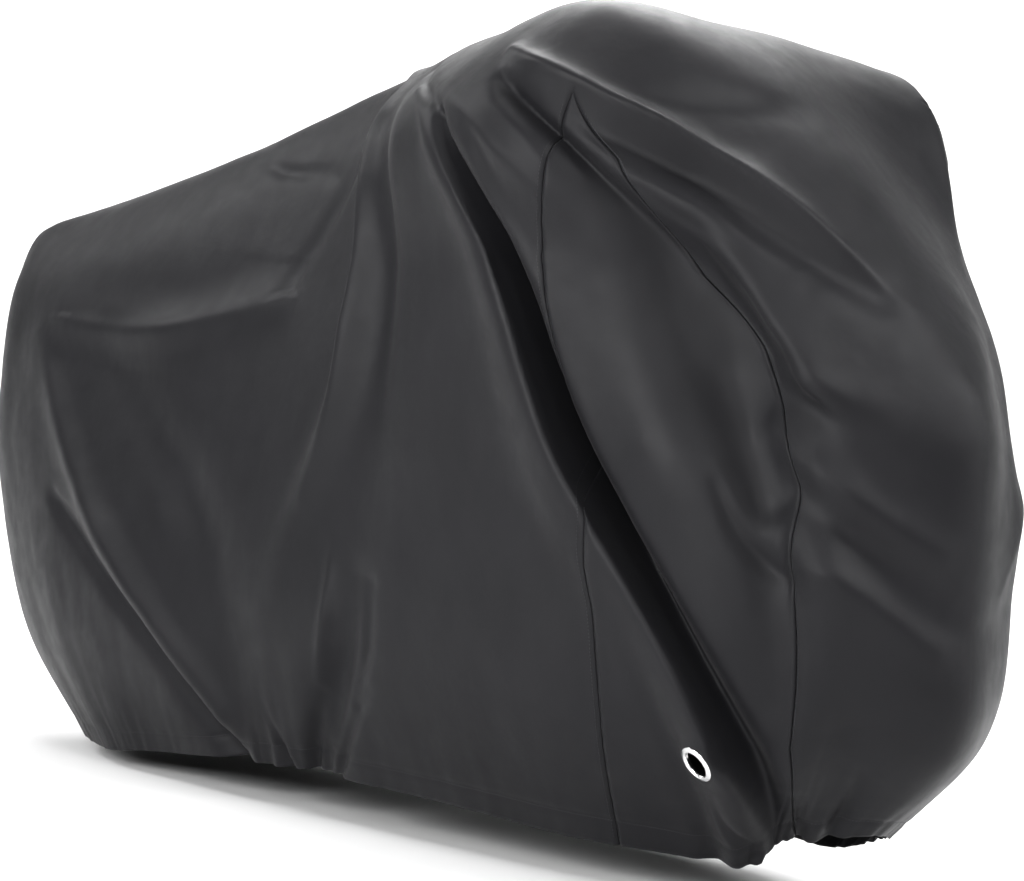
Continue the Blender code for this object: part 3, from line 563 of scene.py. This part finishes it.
def hem_relief(side, along, down):
    """Ripples of the gathered hem and the stitched line above it."""
    strength = np.full(along.shape, HEM_RIPPLE)
    for centre, reach, height in GATHERS[side]:
        strength += height * np.exp(-((along - centre) / reach) ** 2)
    wave = sum(share * np.cos(math.pi * count * along / LENGTH_ALONG)
               for count, share in GATHER_WAVES)
    up = np.maximum(1.0 - down, 0.0)
    rise = np.exp(-(up / GATHER_REACH) ** GATHER_FALL)
    stitched = -HEM_LINE * np.exp(-((up - HEM_BAND) / HEM_LINE_WIDTH) ** 2)
    return strength * wave * rise + stitched


def grain_relief(side, along, down):
    """Soft unevenness that fades where the two sides meet."""
    flat = np.stack([along, down, np.full(along.shape, GRAIN_SIDE * side)], axis=-1)
    fade = smooth(np.minimum(along, LENGTH_ALONG - along) / GRAIN_FADE_ALONG)
    fade = fade * smooth(down / GRAIN_FADE_DOWN)
    total = np.zeros(along.shape)
    for number, (wide, long, height) in enumerate(GRAINS):
        total += height * noise_field(flat, np.array([wide, long, 1.0]), GRAIN_SEED * number)
    return total * fade


def fine_point(side, along, down):
    """Points of the finished cloth's outer face, in the shape of the given places."""
    along, down = np.broadcast_arrays(along, down)
    shape = along.shape
    along, down = np.ravel(along).astype(float), np.ravel(down).astype(float)
    base = base_point(side, along, down)
    height = fold_height(base, FOLD_LINES) + fold_height(base, FINE_LINES)
    height += (grain_relief(side, along, down) + hem_relief(side, along, down)
               + seam_relief(along, down))
    point = base + height[:, None] * base_normal(side, along, down) + lean_over(base)
    centre, outward, _, _ = EYELET_SEATS[side]
    offset = point - centre
    lift = offset @ outward
    flat = 1.0 - smooth((np.linalg.norm(offset, axis=1) - SEAT_EDGE) / SEAT_BLEND)
    near = np.linalg.norm(base - centre, axis=1) < SEAT_NEAR
    point[near] -= (flat * lift)[near, None] * outward
    return point.reshape(*shape, 3)


# ---- sheets
def steps_between(stops):
    """The values of a table of stops, one for each line of the grid."""
    values, cells = np.array(stops).T
    count = int(cells[-1]) // COARSE
    return np.interp(np.arange(count + 1) * cells[-1] / count, cells, values)


def run_to_seam(start, seam, shares):
    """Places from a start to a seam, with the last ones stepped close beside it."""
    room = np.minimum(1.0, abs(seam - start) / SEAM_ROOM)
    zone = np.array(SEAM_STEPS[::-1]) * room[:, None]
    edge = seam - SEAM_STEPS[-1] * np.sign(seam - start) * room
    body = start[:, None] + (edge - start)[:, None] * shares[None, :-1]
    beside_seam = seam[:, None] - zone * np.sign(seam - start + TINY)[:, None]
    return np.concatenate([body, beside_seam], axis=1)


def new_object(name, data):
    """Object of a mesh, lamp or camera, linked to the scene."""
    thing = bpy.data.objects.new(name, data)
    bpy.context.scene.collection.objects.link(thing)
    return thing


def new_shape(name, points, faces):
    """Smooth object of points and faces."""
    mesh = bpy.data.meshes.new(name)
    mesh.from_pydata(points, [], faces)
    mesh.shade_smooth()
    return new_object(name, mesh)


class Cloth:
    """All vertices of the cloth, the faces of each piece, and shared smooth normals."""

    def __init__(self):
        self.points, self.marks, self.count = [], [], 0
        self.faces = {}

    def add(self, points, marks):
        """Numbers for new vertices, in the shape of the given rows and columns."""
        shape = points.shape[:-1]
        flat = points.reshape(-1, 3)
        self.points.append(flat)
        self.marks.append(marks.reshape(-1, 3))
        numbers = np.arange(self.count, self.count + len(flat)).reshape(shape)
        self.count += len(flat)
        return numbers

    def quads(self, piece, numbers, side):
        """Faces between neighbouring rows and columns, outward on either side."""
        a, b, c, d = numbers[:-1, :-1], numbers[1:, :-1], numbers[1:, 1:], numbers[:-1, 1:]
        order = (a, b, c, d) if side == RIGHT else (d, c, b, a)
        self.faces.setdefault(piece, []).append(np.stack(order, axis=-1).reshape(-1, 4))

    def finish(self):
        """Join what was added, and work out the normals that the pieces share."""
        self.points, self.marks = np.concatenate(self.points), np.concatenate(self.marks)
        self.faces = {piece: np.concatenate(parts) for piece, parts in self.faces.items()}
        quads = np.concatenate(list(self.faces.values()))
        p = self.points
        area = np.cross(p[quads[:, 2]] - p[quads[:, 0]], p[quads[:, 3]] - p[quads[:, 1]])
        self.normals = np.zeros_like(p)
        for corner in range(4):
            np.add.at(self.normals, quads[:, corner], area)
        self.normals /= np.maximum(np.linalg.norm(self.normals, axis=1, keepdims=True), TINY * TINY)

    def make(self, piece):
        """Blender object of one piece, with the shared normals and its cloth coordinates."""
        used, numbers = np.unique(self.faces[piece], return_inverse=True)
        thing = new_shape(f"cloth_{piece}", (self.points[used] - HELD_AT).tolist(),
                          numbers.reshape(-1, 4).tolist())
        thing.data.normals_split_custom_set_from_vertices(self.normals[used].tolist())
        marks = thing.data.attributes.new("cloth", "FLOAT_VECTOR", "POINT")
        marks.data.foreach_set("vector", self.marks[used].ravel())
        return thing


def marks_of(side, along, down):
    """Cloth coordinates for the material: metres round, metres down, and wear near the hem."""
    along, down = np.broadcast_arrays(along, down[:, None])
    wear = smooth((down - WEAR_FROM) / WEAR_RANGE)
    return np.stack([along * side, down * DOWN_LENGTH, wear], axis=-1)


def turned_hem(cloth, piece, side, along, edge):
    """The hem's inner fold, from the outer cloth's last row."""
    along, turned = np.broadcast_arrays(along[-1:], 1.0 - np.array(HEM_TURN)[:, None])
    inner = fine_point(side, along, turned) - HEM_DEPTH * base_normal(side, along, turned)
    marks = np.stack([along * side, (2.0 - turned) * DOWN_LENGTH, np.ones(along.shape)], axis=-1)
    cloth.quads(piece, np.concatenate([edge, cloth.add(inner, marks)]), side)


def turn_in(cloth, piece, side, edge, along, down, flip):
    """A narrow strip of cloth that turns in at a seam's edge."""
    points = np.concatenate(cloth.points)[edge] - TURN_IN * base_normal(side, along, down)
    numbers = cloth.add(points[:, None], marks_of(side, along[:, None], down))
    cloth.quads(piece, np.concatenate([edge[:, None], numbers], axis=1), side * flip)


def make_gore_sheet(cloth, side, piece, down, shares):
    """The panel between the seams, with a round hole where the eyelet is pressed in."""
    down = down.copy()
    down[0] += GORE_TIP * (down[1] - down[0])
    rear, front = seams(down)
    middle = (rear + front) / 2
    first = run_to_seam(middle, rear, shares[::2])[:, ::-1]
    last = run_to_seam(middle, front, shares[::2])
    along = np.concatenate([first, last[:, 1:]], axis=1)
    points = fine_point(side, along, down[:, None])
    centre, outward, _, _ = EYELET_SEATS[side]
    offset = points - centre
    lifted = (offset @ outward)[..., None] * outward
    flat = offset - lifted
    radius = np.linalg.norm(flat, axis=-1)
    inside = (radius < CLOTH_HOLE) & (np.linalg.norm(offset, axis=-1) < SEAT_EDGE)
    pushed = centre + lifted + flat * (CLOTH_HOLE / np.maximum(radius, TINY))[..., None]
    rim = inside & neighbours_outside(inside)
    points[rim] = pushed[rim]
    numbers = cloth.add(points, marks_of(side, along, down))
    cloth.quads(piece, numbers, side)
    open_cells = inside[:-1, :-1] & inside[1:, :-1] & inside[1:, 1:] & inside[:-1, 1:]
    cloth.faces[piece][-1] = cloth.faces[piece][-1][~open_cells.ravel()]
    turned_hem(cloth, piece, side, along, numbers[-1:])
    turn_in(cloth, piece, side, numbers[:, 0], along[:, 0], down, -1)
    turn_in(cloth, piece, side, numbers[:, -1], along[:, -1], down, 1)


def neighbours_outside(inside):
    """Where at least one of the eight neighbours lies outside."""
    padded = np.pad(inside, 1, constant_values=False)
    rows, columns = inside.shape
    around = [padded[r:r + rows, c:c + columns] for r in range(3) for c in range(3)]
    return ~np.all(around, axis=0)


def build_cloth():
    """Both halves of the body, behind and before the gore's slot, and both gores."""
    cloth = Cloth()
    down = steps_between(ROW_STOPS)
    apex = int(np.argmin(abs(down - GORE_APEX)))
    down[apex] = GORE_APEX
    rear_seam, front_seam = seams(down)
    front_shares = np.linspace(0, 1, FRONT_COLUMNS // COARSE + 1)
    gore_shares = np.linspace(0, 1, GORE_COLUMNS // COARSE + 1)
    rear_along = run_to_seam(np.zeros(len(down)), rear_seam, steps_between(REAR_STOPS))
    nose = np.full(len(down), LENGTH_ALONG)
    front_along = run_to_seam(nose, front_seam, front_shares)[:, ::-1]
    middle_lines = None  # the crest, the tail and the nose, which both halves share
    for side, word in ((RIGHT, "right"), (LEFT, "left")):
        piece = f"body_{word}"
        rear, front = (
            cloth.add(fine_point(side, along, down[:, None]), marks_of(side, along, down))
            for along in (rear_along, front_along))
        if middle_lines:
            rear[0], rear[:, 0], front[0], front[:, -1] = middle_lines
        middle_lines = rear[0], rear[:, 0], front[0], front[:, -1]
        front[:apex + 1, 0] = rear[:apex + 1, -1]
        cloth.quads(piece, rear, side)
        cloth.quads(piece, front, side)
        turned_hem(cloth, piece, side, rear_along, rear[-1:])
        turned_hem(cloth, piece, side, front_along, front[-1:])
        for block, along, column, flip in ((rear, rear_along, -1, 1), (front, front_along, 0, -1)):
            turn_in(cloth, piece, side, block[apex:, column], along[apex:, column],
                    down[apex:], flip)
        make_gore_sheet(cloth, side, f"gore_{word}", down[apex:], gore_shares)
    cloth.finish()
    return cloth


# ---- stitches and rings
def stitch_line(side, along, down):
    """Closed spindles along a line of the cloth: their points and faces."""
    line = fine_point(side, along, down)
    normal = base_normal(side, along, down)
    run = np.concatenate([[0], np.cumsum(np.linalg.norm(np.diff(line, axis=0), axis=1))])
    starts = np.arange(STITCH_PITCH, run[-1] - STITCH_PITCH, STITCH_PITCH)

    def at(places):
        spot, up = (np.stack([np.interp(places, run, v[:, k]) for k in range(3)], axis=1)
                    for v in (line, normal))
        return spot, unit(up)

    points, faces = [], []
    angles = 2 * math.pi * np.arange(THREAD_SECTION) / THREAD_SECTION
    forward = unit(at(starts + STITCH)[0] - at(starts)[0])
    for share, lift, size in STITCH_RINGS:
        spot, up = at(starts + share * STITCH)
        wide = np.cross(forward, up)
        for angle in (angles if size else angles[:1]):
            ray = math.cos(angle) * wide + math.sin(angle) * up
            points.append(spot + THREAD * (lift * up + size * ray))
    points = np.array(points).transpose(1, 0, 2)  # stitch, corner, place
    n = THREAD_SECTION
    count = points.shape[1]
    for k in range(n):
        m = (k + 1) % n
        faces.append((0, 1 + m, 1 + k))
        for a, b in ((1, 1 + n), (1 + n, 1 + 2 * n)):
            faces.append((a + k, a + m, b + m, b + k))
        faces.append((count - 1, 1 + 2 * n + k, 1 + 2 * n + m))
    all_faces = [tuple(v + s * count for v in face) for s in range(len(points)) for face in faces]
    return points.reshape(-1, 3), all_faces


def make_stitches(side, name):
    """Topstitching beside both seams, and the line that holds the hem's elastic."""
    down = np.linspace(*SEAM_LINE_ENDS, SEAM_SAMPLES)
    rear, front = seams(down)
    along = np.linspace(*HEM_LINE_ENDS, HEM_SAMPLES)
    points, faces, base = [], [], 0
    for line in ((rear - STITCH_OFF, down), (front + STITCH_OFF, down),
                 (along, np.full(along.shape, 1.0 - HEM_BAND))):
        line_points, line_faces = stitch_line(side, *line)
        points.append(line_points)
        faces += [tuple(v + base for v in face) for face in line_faces]
        base += len(line_points)
    return new_shape(name, (np.concatenate(points) - HELD_AT).tolist(), faces)


def make_ring(side, name):
    """The pressed metal ring, turned from its section."""
    centre, outward, forward, across = EYELET_SEATS[side]
    profile = []
    for radius, height, size, start, end in EYELET_ARCS:
        for step in range(ARC_STEPS + 1):
            angle = math.radians(start + (end - start) * step / ARC_STEPS)
            profile.append((radius + size * math.cos(angle),
                            height + size * math.sin(angle) + EYELET_CLEAR))
    profile += [(radius, height - CLOTH - EYELET_CLEAR) for radius, height in EYELET_BACK]
    profile += [(EYELET_BARREL, EYELET_CLEAR), (EYELET_FLANGE - .0002, EYELET_CLEAR)]
    points, faces = [], []
    count = len(profile)
    for turn in range(EYELET_TURNS):
        angle = 2 * math.pi * turn / EYELET_TURNS
        ray = math.cos(angle) * forward + math.sin(angle) * across
        points += [tuple(centre - HELD_AT + radius * ray + height * outward)
                   for radius, height in profile]
        ahead = (turn + 1) % EYELET_TURNS
        for k in range(count):
            n = (k + 1) % count
            faces.append((turn * count + k, ahead * count + k, ahead * count + n, turn * count + n))
    thing = new_shape(name, points, faces)
    thing.data.set_sharp_from_angle(angle=math.radians(EYELET_CORNER))
    return thing


# ---- materials
class Nodes:
    """Short way to add and link a material's nodes."""

    def __init__(self, name):
        self.material = bpy.data.materials.new(name)
        self.material.use_nodes = True
        self.tree = self.material.node_tree
        self.shader = self.tree.nodes["Principled BSDF"]
        self.place = self.add("TexCoord").outputs["Object"]

    def fill(self, socket, value):
        """Set a socket to a value, or link it to another node's output."""
        if isinstance(value, bpy.types.NodeSocket):
            self.tree.links.new(value, socket)
        else:
            socket.default_value = value

    def plug(self, socket, value):
        self.fill(self.shader.inputs[socket], value)

    def add(self, kind, inputs=None, **settings):
        node = self.tree.nodes.new("ShaderNode" + kind)
        for key, value in settings.items():
            setattr(node, key, value)
        for key, value in (inputs or {}).items():
            self.fill(node.inputs[key], value)
        return node

    def math(self, operation, a, b=0.0):
        return self.add("Math", {0: a, 1: b}, operation=operation).outputs[0]

    def mix(self, share, low, high):
        colours = {key: (*value, 1.0) if isinstance(value, tuple) else value
                   for key, value in ((6, low), (7, high))}
        return self.add("Mix", {0: share, **colours}, data_type="RGBA").outputs[2]

    def noise(self, scale, detail=3.0, roughness=0.55, place=None):
        return self.add("TexNoise", {
            "Vector": place or self.place, "Scale": scale, "Detail": detail,
            "Roughness": roughness}).outputs["Fac"]

    def ramp(self, value, low, high, start=0.0, end=1.0):
        return self.add("MapRange", {
            "Value": value, "From Min": low, "From Max": high,
            "To Min": start, "To Max": end}).outputs["Result"]

    def bump(self, height, distance, strength=1.0, before=None):
        inputs = {"Height": height, "Distance": distance, "Strength": strength}
        if before is not None:
            inputs["Normal"] = before
        return self.add("Bump", inputs).outputs["Normal"]


CLOTH_DARK, CLOTH_GREY = (.0100, .0099, .0116), (.0130, .0128, .0148)
CLOTH_DUST = (.024, .023, .024)
THREAD_DARK, THREAD_GREY = (.020, .020, .022), (.050, .050, .054)
METAL_BRIGHT, METAL_DULL = (.88, .88, .89), (.68, .67, .66)
WEAVE_PITCH = 0.0007  # from one thread of the weave to the next


def cloth_material():
    """Tightly woven polyester with a satin coating, near black, a little dusty low down."""
    n = Nodes("cloth")
    marks = n.add("Attribute", attribute_name="cloth").outputs["Vector"]
    parts = n.add("SeparateXYZ", {"Vector": marks})
    cloudy = n.ramp(n.noise(5.0, 4.0), .35, .68)
    colour = n.mix(cloudy, CLOTH_DARK, CLOTH_GREY)
    flecks = n.ramp(n.noise(420.0, 2.0), .60, .80, 0.0, .25)
    colour = n.mix(flecks, colour, CLOTH_DUST)
    patches = n.ramp(n.noise(11.0, 5.0, .65), .48, .75, 0.0, .35)
    dusty = n.math("MULTIPLY", patches, parts.outputs["Z"])
    colour = n.mix(dusty, colour, CLOTH_DUST)
    n.plug("Base Color", colour)
    n.plug("Roughness", n.ramp(n.noise(28.0, 4.0, .6), .3, .7, .38, .48))
    n.plug("Specular IOR Level", .20)
    n.plug("Sheen Weight", .05)
    n.plug("Sheen Roughness", .45)
    rate = 2 * math.pi / WEAVE_PITCH
    warp = n.math("SINE", n.math("MULTIPLY", parts.outputs["X"], rate))
    weft = n.math("SINE", n.math("MULTIPLY", parts.outputs["Y"], rate))
    weave = n.math("MULTIPLY", warp, weft)
    normal = n.bump(n.noise(14.0, 3.0, .5), .0035, .35)
    normal = n.bump(n.noise(46.0, 4.0, .6), .0009, .30, normal)
    n.plug("Normal", n.bump(weave, .00008, .35, normal))
    return n.material


def thread_material():
    """Twisted sewing thread, a little paler than the cloth."""
    n = Nodes("thread")
    n.plug("Base Color", n.mix(n.noise(900.0), THREAD_DARK, THREAD_GREY))
    n.plug("Roughness", n.ramp(n.noise(300.0), .3, .7, .5, .7))
    twist = n.add("TexWave", {"Vector": n.place, "Scale": 900.0, "Distortion": 1.0})
    n.plug("Normal", n.bump(twist.outputs["Fac"], .00010, .5))
    return n.material


def eyelet_material():
    """Bright plated metal with fine scratches and a few dull spots."""
    n = Nodes("eyelet")
    spots = n.ramp(n.noise(260.0, 4.0, .6), .52, .72)
    n.plug("Base Color", n.mix(spots, METAL_BRIGHT, METAL_DULL))
    n.plug("Metallic", 1.0)
    n.plug("Roughness", n.ramp(n.noise(700.0, 3.0), .3, .7, .16, .30))
    brushed = n.add("Mapping", {"Vector": n.place, "Scale": (300.0, 1500.0, 900.0)})
    scratches = n.noise(1.0, 2.0, place=brushed.outputs["Vector"])
    n.plug("Normal", n.bump(scratches, .00003, .4))
    return n.material


# ---- stage, lights and camera
FLOOR_Z = -HELD_AT[2]  # the ground under the bicycle
STAGE_FLAT, STAGE_RISE = 9.0, 8.0
STAGE_TURNS, STAGE_BENDS = 96, 12
STAGE_WHITE = (.88, .88, .88, 1.0)


def make_stage():
    """A pale floor that rises to a wall far off, all round."""
    profile = [(STAGE_FLAT / 3, 0.0), (STAGE_FLAT, 0.0)]
    for step in range(1, STAGE_BENDS + 1):
        angle = math.pi / 2 * step / STAGE_BENDS
        profile.append((STAGE_FLAT + STAGE_RISE * math.sin(angle),
                        STAGE_RISE * (1 - math.cos(angle))))
    points, faces = [(0.0, 0.0, FLOOR_Z)], []
    count = len(profile)
    for turn in range(STAGE_TURNS):
        angle = 2 * math.pi * turn / STAGE_TURNS
        points += [(r * math.cos(angle), r * math.sin(angle), FLOOR_Z + z) for r, z in profile]
        a, b = 1 + turn * count, 1 + (turn + 1) % STAGE_TURNS * count
        faces.append((0, a, b))
        faces += [(a + k, a + k + 1, b + k + 1, b + k) for k in range(count - 1)]
    stage = new_shape("stage", points, faces)
    n = Nodes("stage")
    n.plug("Base Color", STAGE_WHITE)
    n.plug("Roughness", .9)
    n.plug("Specular IOR Level", .1)
    stage.data.materials.append(n.material)


VIEW_TURN, VIEW_DIP, VIEW_ROLL = math.radians(45.1), math.radians(3.5), math.radians(4.6)
VIEW_DISTANCE, VIEW_LENS, VIEW_SENSOR, VIEW_END = 5.42, 139.57, 36.0, 100.0
VIEW_TARGET = Vector((.565, .065, .519)) - Vector(HELD_AT)
VIEW_GAMMA = .85  # softens the tones a little
RIGHTWARD = Vector((math.cos(VIEW_TURN), math.sin(VIEW_TURN), 0))
AWAY = Vector((-math.sin(VIEW_TURN), math.cos(VIEW_TURN), 0))
UPWARD = Vector((0, 0, 1))


def make_camera():
    """The photo's view: turned about the cover, tipped down and rolled."""
    forward = AWAY * math.cos(VIEW_DIP) - UPWARD * math.sin(VIEW_DIP)
    up = AWAY * math.sin(VIEW_DIP) + UPWARD * math.cos(VIEW_DIP)
    right = RIGHTWARD * math.cos(VIEW_ROLL) + up * math.sin(VIEW_ROLL)
    up = up * math.cos(VIEW_ROLL) - RIGHTWARD * math.sin(VIEW_ROLL)
    lens = bpy.data.cameras.new("camera")
    lens.lens, lens.sensor_width, lens.clip_end = VIEW_LENS, VIEW_SENSOR, VIEW_END
    camera = new_object("camera", lens)
    place = VIEW_TARGET - forward * VIEW_DISTANCE
    camera.matrix_world = Matrix((
        (right.x, up.x, -forward.x, place.x), (right.y, up.y, -forward.y, place.y),
        (right.z, up.z, -forward.z, place.z), (0, 0, 0, 1)))
    bpy.context.scene.camera = camera


# A row for each light: offset to the right, towards the camera and up, size, power.
LIGHTS = (
    ("key", (.8, 2.9, 2.8), 1.1, 35),
    ("top", (-.6, .2, 3.4), 2, 43),
    ("front", (-.6, 3.6, 1.2), 1.6, 62),
    ("left", (-2.6, 2.4, .8), 1.2, 111),
    ("right_up", (2.6, 1.6, 2.8), 1.2, 106),
    ("right", (3.4, .6, 1.4), 1.2, 58),
    ("rim", (-3.6, -1.4, 2.6), 1.2, 73),
    ("back", (1, -2.2, 3.4), 1.6, 65),
    ("floor_near", (0, -5, 4.2), 4, 260),
    ("floor_far", (0, -11, 6), 6, 650),
)
LIT_POINT = Vector((.50, 0, .60)) - Vector(HELD_AT)
SKY, SKY_STRENGTH = (1.0, 1.0, 1.0, 1.0), .18


def make_lights():
    """Soft lights turned to the cover, two that shine straight down on the floor, and a sky."""
    for name, (right, near, up), size, power in LIGHTS:
        lamp = bpy.data.lights.new(name, "AREA")
        lamp.shape, lamp.size, lamp.energy = "SQUARE", size, power
        light = new_object(name, lamp)
        offset = RIGHTWARD * right - AWAY * near + UPWARD * up
        light.location = LIT_POINT + offset
        if not name.startswith("floor"):
            light.rotation_euler = offset.to_track_quat("Z", "Y").to_euler()
    world = bpy.data.worlds.new("sky")
    world.use_nodes = True
    background = world.node_tree.nodes["Background"]
    background.inputs["Color"].default_value = SKY
    background.inputs["Strength"].default_value = SKY_STRENGTH
    bpy.context.scene.world = world
    bpy.context.scene.view_settings.view_transform = "Standard"
    bpy.context.scene.view_settings.gamma = VIEW_GAMMA


def dress():
    """The cloth, stitches and rings, with their looks and bodies."""
    cloth_look, thread_look, metal_look = cloth_material(), thread_material(), eyelet_material()
    cloth = build_cloth()
    for side, word in ((RIGHT, "right"), (LEFT, "left")):
        body, gore = cloth.make(f"body_{word}"), cloth.make(f"gore_{word}")
        stitches = make_stitches(side, f"stitches_{word}")
        ring = make_ring(side, f"ring_{word}")
        for piece, look, slot in ((body, cloth_look, "cloth"), (gore, cloth_look, "cloth"),
                                  (stitches, thread_look, "cloth"), (ring, metal_look, "eyelet")):
            piece.data.materials.append(look)
            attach(piece, "root")
        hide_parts("body")
        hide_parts(f"gore_{word}")
        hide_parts(f"eyelet_{word}")


dress()
make_stage()
make_camera()
make_lights()
